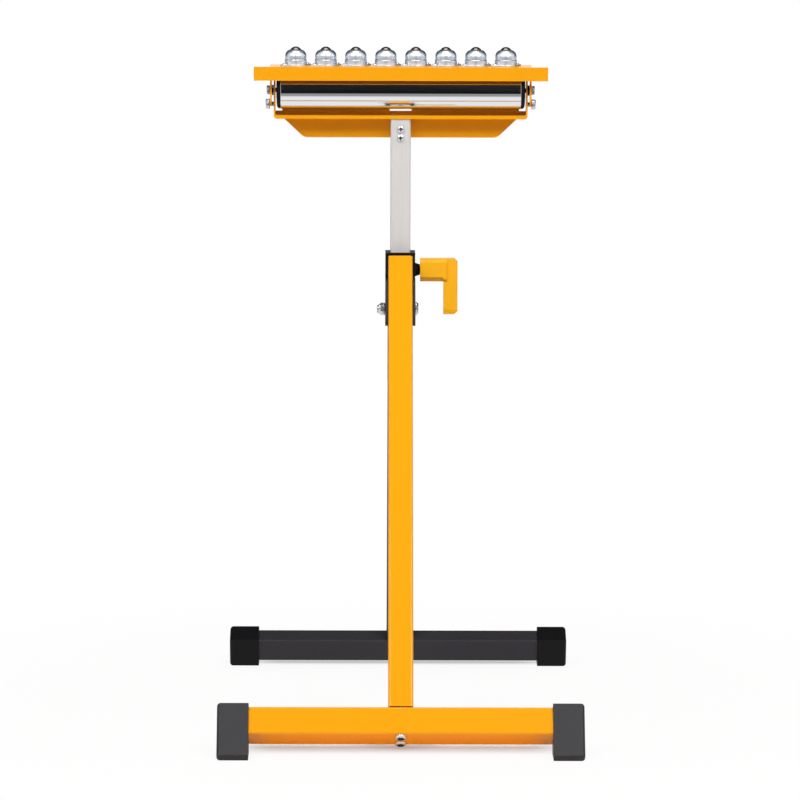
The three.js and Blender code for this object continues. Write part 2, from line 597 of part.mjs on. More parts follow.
// Ball units: a pressed cup with a two-hole flange, and a ball that rolls in it.
{
  const base = PLATE_HIGH;
  const centre = base + BALL_UP;
  const hollow = BALL_R + GAP;
  const mouth = Math.sqrt(hollow * hollow - CUP_RIM * CUP_RIM);
  const lid = [mouth + CUP_LIP, centre + CUP_RIM];
  const arc = Math.acos((lid[0] - CUP_R + CUP_SHOULDER) / CUP_SHOULDER);
  const spring = lid[1] - CUP_SHOULDER * Math.sin(arc);
  const profile = [[0, base], [CUP_R, base], [CUP_R, spring]];
  for (const t of [0.33, 0.67]) {
    profile.push([CUP_R - CUP_SHOULDER * (1 - Math.cos(t * arc)),
      spring + CUP_SHOULDER * Math.sin(t * arc)]);
  }
  profile.push(lid, [mouth, centre + CUP_RIM]);
  const start = Math.asin(CUP_RIM / hollow);
  for (const t of [0.2, 0.4, 0.6, 0.8]) {
    const a = start - t * (start + Math.PI / 2);
    profile.push([hollow * Math.cos(a), centre + hollow * Math.sin(a)]);
  }
  profile.push([0, centre - hollow]);
  const wings = new THREE.Shape();
  const e = FLANGE_EAR_R;
  const f = FLANGE_REACH;
  wings.moveTo(0, -CUP_R);
  wings.lineTo(f, -e);
  wings.absarc(f, 0, e, -Math.PI / 2, Math.PI / 2, false);
  wings.lineTo(0, CUP_R);
  wings.lineTo(-f, e);
  wings.absarc(-f, 0, e, Math.PI / 2, 1.5 * Math.PI, false);
  for (const x of [-f, f]) {
    const hole = new THREE.Path();
    hole.absarc(x, 0, FLANGE_HOLE_R, 0, 2 * Math.PI, false);
    wings.holes.push(hole);
  }
  const flange = body(slab(wings, FLANGE_THICK, null, 5)
    .rotateZ(FLANGE_TURN * RAD).translate(0, 0, base));
  const cup = geometryOf(body(turned(profile, 20)).add(flange));
  const ball = new THREE.SphereGeometry(BALL_R, 18, 10);
  for (let i = 0; i < BALLS; i += 1) {
    const x = (i - (BALLS - 1) / 2) * BALL_PITCH;
    add(`ball_cup_${i + 1}`, cup.clone().translate(x, BALL_Y, 0), ZINC);
    add(`ball_${i + 1}`, body(ball.clone().translate(x, BALL_Y, centre)), CHROME);
  }
}

// Centre the part on its own footprint.
const extent = new THREE.Box3().setFromObject(part);
const shift = -(extent.min.y + extent.max.y) / 2;
part.children.forEach((mesh) => mesh.geometry.translate(0, shift, 0));

export default part;
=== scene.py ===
"""Looks for a folding roller stand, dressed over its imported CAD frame.

Metres, +Z up, the front of the stand towards -Y, the floor at z = 0.
"""

import json
import math

import bpy
from mathutils import Matrix, Vector


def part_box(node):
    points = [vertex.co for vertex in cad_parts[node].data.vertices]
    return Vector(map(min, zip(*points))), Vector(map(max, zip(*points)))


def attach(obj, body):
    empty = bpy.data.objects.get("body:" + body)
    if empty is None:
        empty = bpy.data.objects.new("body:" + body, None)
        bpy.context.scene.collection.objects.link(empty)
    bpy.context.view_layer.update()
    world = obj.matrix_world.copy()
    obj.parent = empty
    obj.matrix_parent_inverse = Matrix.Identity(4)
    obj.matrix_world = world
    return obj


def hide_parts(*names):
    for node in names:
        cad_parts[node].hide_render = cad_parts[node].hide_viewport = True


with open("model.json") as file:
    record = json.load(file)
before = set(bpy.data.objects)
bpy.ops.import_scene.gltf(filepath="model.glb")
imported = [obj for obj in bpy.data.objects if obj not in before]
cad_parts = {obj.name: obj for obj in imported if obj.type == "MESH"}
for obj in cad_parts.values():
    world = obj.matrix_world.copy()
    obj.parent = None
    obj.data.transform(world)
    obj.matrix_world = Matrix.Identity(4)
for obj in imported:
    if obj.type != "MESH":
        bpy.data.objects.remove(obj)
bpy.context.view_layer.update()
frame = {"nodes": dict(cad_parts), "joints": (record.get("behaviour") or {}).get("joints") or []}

# Camera: a long lens in front of the stand, about 0.4 m above its head and
# tilted down at it, as in the photograph.
camera_lens = bpy.data.cameras.new("camera")
camera_lens.lens = 237.4
camera_lens.clip_end = 80.0
camera = bpy.data.objects.new("camera", camera_lens)
camera.location = (-0.0405, -6.4414, 1.2344)
camera.rotation_euler = [math.radians(angle) for angle in (82.501, -0.173, -0.335)]
bpy.context.collection.objects.link(camera)
bpy.context.scene.camera = camera
bpy.context.scene.view_settings.view_transform = "Standard"


# Studio: a white sweep under soft, even light. The camera sees it white with a
# soft shadow under each foot bar. Metal mirrors it white close to the stand, grey
# further forward and dark beyond that.
class Value:
    """A node output that adds Math nodes when it is used in arithmetic."""

    def __init__(self, graph, socket):
        self.graph = graph
        self.socket = socket

    def math(self, operation, first, second):
        return self.graph.node("ShaderNodeMath", {"operation": operation}, {0: first, 1: second})

    def __add__(self, other):
        return self.math("ADD", self, other)

    def __radd__(self, other):
        return self.math("ADD", other, self)

    def __sub__(self, other):
        return self.math("SUBTRACT", self, other)

    def __rsub__(self, other):
        return self.math("SUBTRACT", other, self)

    def __mul__(self, other):
        return self.math("MULTIPLY", self, other)

    def __rmul__(self, other):
        return self.math("MULTIPLY", other, self)

    def __abs__(self):
        return self.graph.node("ShaderNodeMath", {"operation": "ABSOLUTE"}, {0: self})


class Graph:
    """A node tree. node() adds one node, sets it up and hands back an output."""

    def __init__(self, tree):
        self.tree = tree

    def node(self, kind, settings, inputs, output=0):
        made = self.tree.nodes.new(kind)
        for name, value in settings.items():
            setattr(made, name, value)
        self.feed(made, inputs)
        return Value(self, made.outputs[output])

    def feed(self, made, inputs):
        for key, value in inputs.items():
            socket = made.inputs[key]
            if isinstance(value, Value):
                self.tree.links.new(value.socket, socket)
            elif socket.type == "RGBA":
                socket.default_value = (*value, 1.0)
            else:
                socket.default_value = value

    def ramp(self, value, start, end, first, last):
        return self.node(
            "ShaderNodeMapRange",
            {"interpolation_type": "SMOOTHSTEP"},
            {"Value": value, "From Min": start, "From Max": end, "To Min": first, "To Max": last},
        )

    def between(self, factor, first, second):
        return self.node("ShaderNodeMix", {"data_type": "RGBA"}, {0: factor, 6: first, 7: second}, 2)

    def along(self, axis, vector):
        return self.node("ShaderNodeSeparateXYZ", {}, {"Vector": vector}, axis)

    def ray(self, kind):
        return self.node("ShaderNodeLightPath", {}, {}, f"Is {kind} Ray")


FLOOR_REACH = 9.0
# Share of plain white that the camera sees in place of the lit floor.
SHADOW_LIFT = 0.90
BAR_LIFT = 0.05
REAR_LIFT = 0.30
SHADOW_NEAR = 0.25
SHADOW_FADE = 0.75
# Where the shadows of the two foot bars lie on the floor.
BAR_SHADOW_Y = -0.237
BAR_SHADOW_DEPTH = 0.050
BAR_SHADOW_ENDS = (0.15, 0.215)
REAR_SHADOW_Y = 0.326
REAR_SHADOW_DEPTH = 0.024
# What metal mirrors of the floor, from the front towards the stand.
DARK_ROOM = 0.007
GREY_FROM = (-2.6, -2.2)
MIRRORED_GREY = 0.36
WHITE_FROM = (-1.25, -0.8)
BAR_Y = -0.275
BAR_SHADE = 0.075
# The floor's colour as the camera sees it, slightly warm as painted bounce light in its shadows.
FLOOR_SEEN = (0.95, 0.92, 0.90)
# A dimmer copy of it, painted shade, sets the light that it throws back up at the stand.
FLOOR_BOUNCE = (0.62, 0.56, 0.52)
# Painted warm bounce: under the front bar the floor throws orange light back up.
BAR_PAINTED_BOUNCE = (0.95, 0.68, 0.42)
BAR_PAINTED_BOUNCE_EDGE = (0.06, 0.22)

bpy.ops.object.select_all(action="DESELECT")
bpy.ops.mesh.primitive_plane_add(size=2 * FLOOR_REACH, location=(0, 0, 0))
floor = bpy.context.object
floor.name = "studio_floor"
floor_paint = bpy.data.materials.new("floor_paint")
floor_paint.use_nodes = True
graph = Graph(floor_paint.node_tree)
place = graph.node("ShaderNodeTexCoord", {}, {}, "Object")
across = graph.along("Y", place)
along_bar = graph.ramp(abs(graph.along("X", place)), *BAR_SHADOW_ENDS, 1.0, 0.0)
under_bar = along_bar * graph.ramp(abs(across - BAR_SHADOW_Y), 0.0, BAR_SHADOW_DEPTH, 1.0, 0.0)
under_rear = along_bar * graph.ramp(abs(across - REAR_SHADOW_Y), 0.0, REAR_SHADOW_DEPTH, 1.0, 0.0)
close = SHADOW_LIFT - (SHADOW_LIFT - BAR_LIFT) * under_bar - (SHADOW_LIFT - REAR_LIFT) * under_rear
away = graph.node("ShaderNodeVectorMath", {"operation": "LENGTH"}, {0: place}, "Value")
far = graph.ramp(away, SHADOW_NEAR, SHADOW_NEAR + SHADOW_FADE, 0.0, 1.0)
lift = close + (1.0 - close) * far
direct = graph.ray("Camera") + graph.ray("Transmission")
mirrored = graph.ray("Glossy")
mirrored_floor = graph.ramp(across, *GREY_FROM, DARK_ROOM, MIRRORED_GREY)
mirrored_floor = mirrored_floor + graph.ramp(across, *WHITE_FROM, 0.0, 1.0 - MIRRORED_GREY)
from_bar = abs(across - BAR_Y)
shaded = along_bar * graph.ramp(from_bar, 0.0, BAR_SHADE, 1.0, 0.0)
# Painted warm bounce: the light that the floor throws up turns orange close under the front bar.
painted_bounce = graph.between(graph.ramp(from_bar, *BAR_PAINTED_BOUNCE_EDGE, 0.0, 1.0), BAR_PAINTED_BOUNCE, FLOOR_BOUNCE)
matt = graph.node("ShaderNodeBsdfDiffuse", {}, {"Color": graph.between(direct, painted_bounce, FLOOR_SEEN)})
white = graph.node("ShaderNodeEmission", {}, {"Color": direct + mirrored * mirrored_floor})
plain = direct * lift + mirrored * (1.0 - shaded)
graph.feed(
    floor_paint.node_tree.nodes["Material Output"],
    {"Surface": graph.node("ShaderNodeMixShader", {}, {0: plain, 1: matt, 2: white})},
)
floor.data.materials.append(floor_paint)

# Room beyond the sweep: the chrome and zinc mirror a white sheet behind the stand
# and soft white sides, dimmer overhead, and a dark gap where the camera stands.
AMBIENT = 0.18
SHEET_EDGE = (0.90, 0.97)
GAP_EDGE = (0.04, 0.14)
SIDES_END = (0.0, 0.35)
OVERHEAD_EDGE = (0.45, 0.85)
OVERHEAD_DIM = 0.4
LAMP_AIM = Vector((0, 0, 0.45))

surroundings = bpy.data.worlds.new("studio_room")
surroundings.use_nodes = True
bpy.context.scene.world = surroundings
graph = Graph(surroundings.node_tree)
heading = graph.node("ShaderNodeTexCoord", {}, {}, "Generated")
depth = graph.along("Y", heading)
sheet = graph.ramp(depth, *SHEET_EDGE, 0.0, 1.0)
beside_gap = graph.ramp(abs(graph.along("X", heading)), *GAP_EDGE, 0.0, 1.0)
sides = beside_gap * graph.ramp(depth, *SIDES_END, 1.0, 0.0)
overhead = graph.ramp(graph.along("Z", heading), *OVERHEAD_EDGE, 1.0, OVERHEAD_DIM)
direct = graph.ray("Camera") + graph.ray("Transmission")
mirrored = graph.ray("Glossy")
mirrored_room = DARK_ROOM + (sheet + sides) * overhead
room = AMBIENT * (1.0 - direct - mirrored) + direct + mirrored * mirrored_room
graph.feed(surroundings.node_tree.nodes["Background"], {"Color": room, "Strength": 1.0})

for name, spot, width, power, in_mirror in (
    ("right_panel", (1.3, -2.3, 2.65), 1.3, 49.0, True),
    ("left_panel", (-1.3, -2.3, 2.65), 1.3, 45.0, True),
    ("top_panel", (0.0, -0.2, 3.4), 1.8, 26.0, True),
    ("front_panel", (0.0, -4.2, 0.9), 1.2, 8.0, False),
    ("rear_panel", (0.4, 3.0, 1.9), 1.4, 22.0, False),
):
    panel = bpy.data.lights.new(name, "AREA")
    panel.size = width
    panel.energy = power
    lamp = bpy.data.objects.new(name, panel)
    lamp.visible_glossy = in_mirror
    lamp.location = spot
    lamp.rotation_euler = (LAMP_AIM - Vector(spot)).to_track_quat("-Z", "Y").to_euler()
    bpy.context.collection.objects.link(lamp)

# Sleeve and hinge plates: a square steel tube that the mast slides in, with a
# flat plate welded to each side, all powder coated satin black.
SLEEVE_CORNER = 0.003
SLEEVE_WALL = 0.0025
COAT_ROUGHNESS = 0.12
SHARP_ANGLE = math.radians(32.0)
MERGE_WITHIN = 0.00001
FLAT_WITHIN = math.radians(0.2)
FACING = 0.9
OPEN_END = 1.5


class Finish(Graph):
    """A material with one Principled shader and Object coordinates to hand."""

    def __init__(self, name):
        self.material = bpy.data.materials.new(name)
        self.material.use_nodes = True
        super().__init__(self.material.node_tree)
        self.shader = self.tree.nodes["Principled BSDF"]
        self.place = self.node("ShaderNodeTexCoord", {}, {}, "Object")

    def grain(self, scale, detail=2.0, stretch=(1.0, 1.0, 1.0)):
        place = self.node("ShaderNodeMapping", {}, {"Vector": self.place, "Scale": stretch})
        return self.node(
            "ShaderNodeTexNoise", {}, {"Vector": place, "Scale": scale, "Detail": detail}, "Fac"
        )

    def around(self, middle, spread, grain):
        return middle - spread + 2 * spread * grain

    def relief(self, height, strength, depth):
        return self.node(
            "ShaderNodeBump", {}, {"Height": height, "Strength": strength, "Distance": depth}
        )

    def surface(self, **inputs):
        self.feed(self.shader, {name.replace("_", " "): value for name, value in inputs.items()})
        return self.material


def powder_coat(name, colour, shade, roughness, gloss, coat):
    """Baked paint with a faint orange peel under a clear skin."""
    finish = Finish(name)
    cloud = finish.grain(scale=9.0, detail=3.0)
    rubbed = finish.grain(scale=160.0, detail=3.0)
    peel = finish.grain(scale=620.0, detail=1.0)
    return finish.surface(
        Base_Color=finish.between(cloud, shade, colour),
        Roughness=finish.around(roughness, 0.06, rubbed),
        Specular_IOR_Level=gloss,
        Coat_Weight=coat,
        Coat_Roughness=COAT_ROUGHNESS,
        Normal=finish.relief(peel, strength=0.22, depth=0.00012),
    )


def select_only(piece):
    bpy.ops.object.select_all(action="DESELECT")
    piece.select_set(True)
    bpy.context.view_layer.objects.active = piece


def shade_evenly(piece):
    """Smooth shading that keeps long flat faces flat up to their edges."""
    select_only(piece)
    bpy.ops.object.shade_smooth_by_angle(angle=SHARP_ANGLE)
    shading = piece.modifiers.new("even_shading", "WEIGHTED_NORMAL")
    shading.keep_sharp = True
    bpy.ops.object.modifier_apply(modifier=shading.name)


def soften(piece, width, segments=2, limit=40.0):
    """Round every edge that turns by more than limit degrees."""
    select_only(piece)
    rounding = piece.modifiers.new("eased_edges", "BEVEL")
    rounding.width = width
    rounding.segments = segments
    rounding.limit_method = "ANGLE"
    rounding.angle_limit = math.radians(limit)
    bpy.ops.object.modifier_apply(modifier=rounding.name)
    shade_evenly(piece)


def plain_copy(node):
    """The CAD piece's own mesh with its flat faces made whole."""
    piece = bpy.data.objects.new(f"{node}_dressed", frame["nodes"][node].data.copy())
    bpy.context.collection.objects.link(piece)
    select_only(piece)
    bpy.ops.object.mode_set(mode="EDIT")
    bpy.ops.mesh.select_all(action="SELECT")
    bpy.ops.mesh.remove_doubles(threshold=MERGE_WITHIN)
    bpy.ops.mesh.dissolve_limited(angle_limit=FLAT_WITHIN)
    bpy.ops.object.mode_set(mode="OBJECT")
    bpy.ops.mesh.customdata_custom_splitnormals_clear()
    return piece


def eased(node, width, segments=2):
    piece = plain_copy(node)
    soften(piece, width, segments)
    return piece


def pick(piece, kind, chosen):
    """Leave the piece in edit mode with just the chosen faces or edges selected."""
    if piece.mode == "EDIT":
        bpy.ops.object.mode_set(mode="OBJECT")
    select_only(piece)
    bpy.ops.object.mode_set(mode="EDIT")
    bpy.ops.mesh.select_mode(type=kind)
    bpy.ops.mesh.select_all(action="DESELECT")
    bpy.ops.object.mode_set(mode="OBJECT")
    if kind == "FACE":
        for face in piece.data.polygons:
            face.select = chosen(face)
    else:
        for edge in piece.data.edges:
            edge.select = chosen(*(piece.data.vertices[i].co for i in edge.vertices))
    bpy.ops.object.mode_set(mode="EDIT")


def done(piece, name):
    bpy.ops.object.mode_set(mode="OBJECT")
    piece.name = name
    return piece


def put(piece, matrix):
    """Move a finished piece to its place and apply that to its mesh."""
    select_only(piece)
    piece.matrix_world = matrix
    bpy.ops.object.transform_apply(location=True, rotation=True, scale=True)


def square_tube(name, size, corner, wall, low, high):
    """A rolled square tube along Z, hollowed at each end to OPEN_END times its size."""
    bpy.ops.object.select_all(action="DESELECT")
    bpy.ops.mesh.primitive_cube_add(
        size=1.0, location=(0, 0, (low + high) / 2), scale=(size, size, high - low)
    )
    piece = bpy.context.object
    bpy.ops.object.transform_apply(location=True, rotation=True, scale=True)
    pick(piece, "EDGE", lambda a, b: abs(a.z - b.z) > (high - low) / 2)
    bpy.ops.mesh.bevel(offset=corner, segments=6)
    pick(piece, "FACE", lambda face: abs(face.normal.z) > FACING)
    bpy.ops.mesh.inset(thickness=wall)
    half_section = size * size / 2
    for sign in (1, -1):
        pick(piece, "FACE", lambda face: face.normal.z * sign > FACING and face.area > half_section)
        inwards = (0, 0, -sign * OPEN_END * size)
        bpy.ops.mesh.extrude_region_move(TRANSFORM_OT_translate={"value": inwards})
    done(piece, name)
    soften(piece, width=0.0004, limit=50.0)
    return piece


def fit(piece, material, slot, body, *nodes):
    if material:
        piece.data.materials.clear()
        piece.data.materials.append(material)
    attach(piece, body)
    if nodes:
        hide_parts(*nodes)


black_coat = powder_coat(
    "black_powder_coat", colour=(0.040, 0.038, 0.046), shade=(0.033, 0.031, 0.038),
    roughness=0.45, gloss=0.10, coat=0.25,
)
low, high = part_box("sleeve")
axis_y = (low.y + high.y) / 2
sleeve = square_tube("sleeve_tube", high.x - low.x, SLEEVE_CORNER, SLEEVE_WALL, low.z, high.z)
put(sleeve, Matrix.Translation((0, axis_y, 0)))
fit(sleeve, black_coat, "black_paint", "base", "sleeve")
for node in ("hinge_plate_left", "hinge_plate_right"):
    fit(eased(node, width=0.0006), black_coat, "black_paint", "base", node)


# Collar: a moulded cap on top of the sleeve that guides the mast and carries
# the threaded boss of the clamp.
def moulded(name, colour, shade, roughness, pebble, gloss):
    """Plastic with a fine pebble grain."""
    finish = Finish(name)
    cloud = finish.grain(scale=14.0)
    rubbed = finish.grain(scale=240.0)
    pebbles = finish.grain(scale=1400.0)
    return finish.surface(
        Base_Color=finish.between(cloud, shade, colour),
        Roughness=finish.around(roughness, 0.05, rubbed),
        Specular_IOR_Level=gloss,
        Normal=finish.relief(pebbles, strength=pebble, depth=0.0001),
    )


black_plastic = moulded(
    "black_plastic", colour=(0.011, 0.010, 0.011), shade=(0.008, 0.007, 0.008),
    roughness=0.45, pebble=0.2, gloss=0.05,
)
fit(eased("collar", width=0.0009), black_plastic, "black_plastic", "base", "collar")

# Leg pivots: zinc plated hexagon bolts with a rolled thread and a lock nut on
# the far end. Each one passes through both hinge plates and the leg.
M8 = {"radius": 0.004, "pitch": 0.00125}
M6 = {"radius": 0.003, "pitch": 0.001}
THREAD_TIP = 0.82
THREAD_ROOT = 0.86
CREST_AT = 0.35
ROOT_AT = 0.85
LATHE_MERGE = 0.000002
HEX_CHAMFER = 0.08
LEVEL_WITHIN = 1e-6
# Radii of the washer and the lock nut's crown as shares of the hexagon's width.
WASHER = 0.66
WASHER_FACE = 0.62
CROWN = 0.46
CROWN_FACE = 0.40
# Heights on the lock nut as shares of its thickness.
CROWN_FOOT = 0.70
CROWN_EDGE = 0.88
NUT_FLATS = 0.76
CROWN_BORE = 0.0044
WASHER_EDGE = 0.0011
WASHER_THICK = 0.0014
HEAD_FOOT = 0.0012
SHANK_TOP = 0.001


def zinc_plate(name, warm, cool, roughness):
    finish = Finish(name)
    return finish.surface(
        Base_Color=finish.between(finish.grain(scale=70.0), warm, cool),
        Metallic=1.0,
        Roughness=finish.around(roughness, 0.05, finish.grain(scale=420.0, detail=3.0)),
    )


def lathe(name, profile, steps):
    """Spin radius and height pairs about Z into a closed turned piece."""
    bpy.ops.object.select_all(action="DESELECT")
    start_radius, start_height = profile[0]
    bpy.ops.mesh.primitive_plane_add(size=0.001, location=(0, 0, 0))
    piece = bpy.context.object
    bpy.ops.object.mode_set(mode="EDIT")
    bpy.ops.mesh.select_mode(type="VERT")
    bpy.ops.mesh.select_all(action="SELECT")
    bpy.ops.mesh.merge(type="CENTER")
    bpy.ops.transform.translate(value=(start_radius, 0, start_height))
    for (radius, height), (next_radius, next_height) in zip(profile, profile[1:]):
        step = (next_radius - radius, 0, next_height - height)
        bpy.ops.mesh.extrude_region_move(TRANSFORM_OT_translate={"value": step})
    bpy.ops.mesh.select_all(action="SELECT")
    bpy.ops.mesh.spin(steps=steps, angle=2 * math.pi, center=(0, 0, 0), axis=(0, 0, 1))
    bpy.ops.mesh.select_all(action="SELECT")
    bpy.ops.mesh.remove_doubles(threshold=LATHE_MERGE)
    bpy.ops.mesh.normals_make_consistent(inside=False)
    done(piece, name)
    shade_evenly(piece)
    return piece


def threaded(name, low, high, radius, pitch):
    """A shank with a rolled thread that runs up from low to high."""
    turns = max(1, int((high - low) / pitch))
    step = (high - low) / turns
    profile = [(0.0, low), (THREAD_TIP * radius, low)]
    for turn in range(turns):
        profile.append((radius, low + (turn + CREST_AT) * step))
        profile.append((THREAD_ROOT * radius, low + (turn + ROOT_AT) * step))
    profile += [(THREAD_TIP * radius, high), (0.0, high)]
    return lathe(name, profile, steps=24)


def hexagon(across, low, high):
    """A hexagon with both ends chamfered, standing from low to high."""
    bpy.ops.object.select_all(action="DESELECT")
    bpy.ops.mesh.primitive_cylinder_add(
        vertices=6, radius=across / math.sqrt(3), depth=high - low, location=(0, 0, (low + high) / 2)
    )
    piece = bpy.context.object
    bpy.ops.object.transform_apply(location=True, rotation=True, scale=True)
    pick(piece, "EDGE", lambda a, b: abs(a.z - b.z) < LEVEL_WITHIN)
    bpy.ops.mesh.bevel(offset=HEX_CHAMFER * across, segments=2)
    done(piece, "hexagon")
    soften(piece, width=0.0002, segments=1, limit=50.0)
    return piece


def joined(name, *pieces):
    bpy.ops.object.select_all(action="DESELECT")
    for piece in pieces:
        piece.select_set(True)
    bpy.context.view_layer.objects.active = pieces[0]
    bpy.ops.object.join()
    pieces[0].name = name
    return pieces[0]


def towards(direction, spot):
    turn = Vector(direction).to_track_quat("Z", "Y").to_matrix().to_4x4()
    return Matrix.Translation(spot) @ turn


def middle(low, high):
    """The centre of a box, moved to the stand's centre plane."""
    return Vector((0, (low.y + high.y) / 2, (low.z + high.z) / 2))


zinc = zinc_plate("zinc_plate", warm=(0.74, 0.74, 0.73), cool=(0.62, 0.68, 0.76), roughness=0.24)
for end in ("front", "rear"):
    low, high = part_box(f"{end}_pivot_bolt")
    nut_low, nut_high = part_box(f"{end}_pivot_nut")
    spot = middle(low, high)
    across = high.y - low.y
    seat = -nut_high.x
    washer = lathe(
        "washer",
        [(0.0, seat), (WASHER * across, seat), (WASHER * across, seat + WASHER_EDGE),
         (WASHER_FACE * across, seat + WASHER_THICK), (0.0, seat + WASHER_THICK)],
        steps=40,
    )
    bolt = joined(
        f"{end}_pivot_hex_bolt",
        hexagon(across, seat + HEAD_FOOT, high.x),
        washer,
        threaded("shank", low.x, seat + SHANK_TOP, **M8),
    )
    put(bolt, towards((1, 0, 0), spot))
    fit(bolt, zinc, "zinc", "base", f"{end}_pivot_bolt")
    thick = nut_high.x - nut_low.x
    crown = lathe(
        "crown",
        [(CROWN_BORE, CROWN_FOOT * thick), (CROWN * across, CROWN_FOOT * thick),
         (CROWN * across, CROWN_EDGE * thick), (CROWN_FACE * across, thick),
         (CROWN_BORE, thick), (CROWN_BORE, CROWN_FOOT * thick)],
        steps=40,
    )
    nut = joined(f"{end}_pivot_lock_nut", hexagon(across, 0.0, NUT_FLATS * thick), crown)
    put(nut, towards((-1, 0, 0), (nut_high.x, spot.y, spot.z)))
    fit(nut, zinc, "zinc", "base", f"{end}_pivot_nut")

# Legs: rolled square tubes that stand out to the front and the rear, each with
# a cross bar held under its foot by two screws from below. Moulded caps close
# the ends of the bars.
LEG_TUBE = 0.030
TUBE_CORNER = 0.003
TUBE_WALL = 0.0015
CLEAR = 0.0003
# The leg tube stops short of its cross bar, so the near-black plug shows in the gap as a painted shadow
# line.
LEG_JOINT = 0.0016
CAP_ROUNDING = 0.0040
FOOT_SCREW_PITCH = 0.020
DOME_STEPS = 8
DOME_SKIRT = 0.25
DOME_FOOT = 0.97
RECESS_REACH = 1.4
RECESS_TAPER = 0.7
SHANK_INTO_HEAD = 0.0002


def cut_away(piece, cutter, material_mode="INDEX"):
    select_only(piece)
    cut = piece.modifiers.new("cut", "BOOLEAN")
    cut.object = cutter
    cut.operation = "DIFFERENCE"
    cut.material_mode = material_mode
    bpy.ops.object.modifier_apply(modifier=cut.name)
    bpy.data.objects.remove(cutter)


def dome_screw(name, radius, rise, depth, low, slot):
    """A domed screw head on z = 0 with a cross recess, lined near-black as painted shade, whose arms are
    slot wide.
    """
    profile = [(0.0, rise)]
    for step in range(1, DOME_STEPS + 1):
        angle = step / DOME_STEPS * math.pi / 2
        height = DOME_SKIRT * rise + (1.0 - DOME_SKIRT) * rise * math.cos(angle)
        profile.append((radius * math.sin(angle), height))
    head = lathe("head", profile + [(DOME_FOOT * radius, 0.0), (0.0, 0.0)], steps=40)
    head.data.materials.append(zinc)
    for turn in (0.0, math.pi / 2):
        bpy.ops.object.select_all(action="DESELECT")
        bpy.ops.mesh.primitive_cube_add(
            size=1.0, location=(0, 0, rise), rotation=(0, 0, turn),
            scale=(RECESS_REACH * radius, slot, 2 * depth),
        )
        blade = bpy.context.object
        bpy.ops.object.transform_apply(location=True, rotation=True, scale=True)
        pick(blade, "FACE", lambda face: face.normal.z < -FACING)
        bpy.ops.transform.resize(value=(RECESS_TAPER, RECESS_TAPER, 1.0))
        done(blade, "blade")
        # The recess faces take near-black zinc: painted shade inside the recess.
        blade.data.materials.append(painted_shade_zinc)
        cut_away(head, blade, material_mode="TRANSFER")
    shade_evenly(head)
    shank = threaded("shank", low, SHANK_INTO_HEAD, **M6)
    shank.data.materials.append(zinc)
    return joined(name, head, shank)


# Near-black zinc, painted shade: it lines the screw recesses and colours the leg plugs seen under each
# leg.
painted_shade_zinc = zinc_plate("painted_shade_zinc", warm=(0.05, 0.05, 0.05), cool=(0.03, 0.03, 0.035), roughness=0.5)
yellow_coat = powder_coat(
    "yellow_powder_coat", colour=(0.97, 0.410, 0.003), shade=(0.95, 0.390, 0.002),
    roughness=0.42, gloss=0.03, coat=0.6,
)
# One black cap plastic in two copies: the front caps' lighter copy is painted light, the rear caps'
# darker copy painted shade.
front_caps_painted_light = moulded(
    "cap_plastic_painted_light", colour=(0.034, 0.033, 0.039), shade=(0.028, 0.027, 0.032),
    roughness=0.45, pebble=0.28, gloss=0.24,
)
rear_caps_painted_shade = moulded(
    "cap_plastic_painted_shade", colour=(0.008, 0.008, 0.009), shade=(0.006, 0.006, 0.007),
    roughness=0.45, pebble=0.28, gloss=0.12,
)
folds = {joint["name"]: joint for joint in frame["joints"]}
for end, out, above, bar, bar_z, coat, paint, caps in (
    ("front", -1, 0.0655, 0.0350, 0.0345, yellow_coat, "yellow_paint", front_caps_painted_light),
    ("rear", 1, 0.0630, 0.0300, 0.0252, black_coat, "black_paint", rear_caps_painted_shade),
):
    body = f"{end}_leg"
    fold = folds[f"{end}_leg_fold"]
    pivot = Vector(fold["pos_m"])
    lean = math.radians(max(fold["range_deg"]))
    stance = Matrix.Translation(pivot) @ Matrix.Rotation(out * lean, 4, "X")
    reach = (pivot.z - bar_z) / math.cos(lean)
    foot = -reach + bar / 2 + LEG_JOINT
    leg = square_tube(f"{end}_leg_tube", LEG_TUBE, TUBE_CORNER, TUBE_WALL, foot, above)
    put(leg, stance)
    fit(leg, coat, paint, body, f"{end}_leg")
    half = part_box(f"{end}_foot_bar")[1].x
    cross_bar = square_tube(f"{end}_cross_bar", bar, TUBE_CORNER, TUBE_WALL, -half, half)
    put(cross_bar, stance @ Matrix.Translation((0, 0, -reach)) @ Matrix.Rotation(math.pi / 2, 4, "Y"))
    fit(cross_bar, coat, paint, body, f"{end}_foot_bar")
    # The plug at the foot of the leg is near-black: painted shade in the gap above the cross bar.
    fit(eased(f"{end}_leg_plug", width=0.0004), painted_shade_zinc, "zinc", body, f"{end}_leg_plug")
    for side in ("left", "right"):
        node = f"{end}_foot_cap_{side}"
        cap = plain_copy(node)
        tip = max(abs(vertex.co.x) for vertex in cap.data.vertices) - CLEAR
        pick(cap, "EDGE", lambda a, b: min(abs(a.x), abs(b.x)) > tip)
        bpy.ops.mesh.bevel(offset=CAP_ROUNDING, segments=5)
        done(cap, f"{node}_moulded")
        soften(cap, width=0.0008, limit=50.0)
        fit(cap, caps, "cap_plastic", body, node)
    for number, offset in ((1, -0.5), (2, 0.5)):
        screw = dome_screw(
            f"{end}_foot_screw_{number}",
            radius=0.0070, rise=0.0040, depth=0.0024, low=-0.050, slot=0.0064,
        )
        under = Vector((0, offset * FOOT_SCREW_PITCH, -reach - bar / 2 - CLEAR))
        put(screw, stance @ Matrix.Translation(under) @ Matrix.Rotation(math.pi, 4, "X"))
        fit(screw, None, "zinc", body, f"{end}_foot_bolt_{number}")

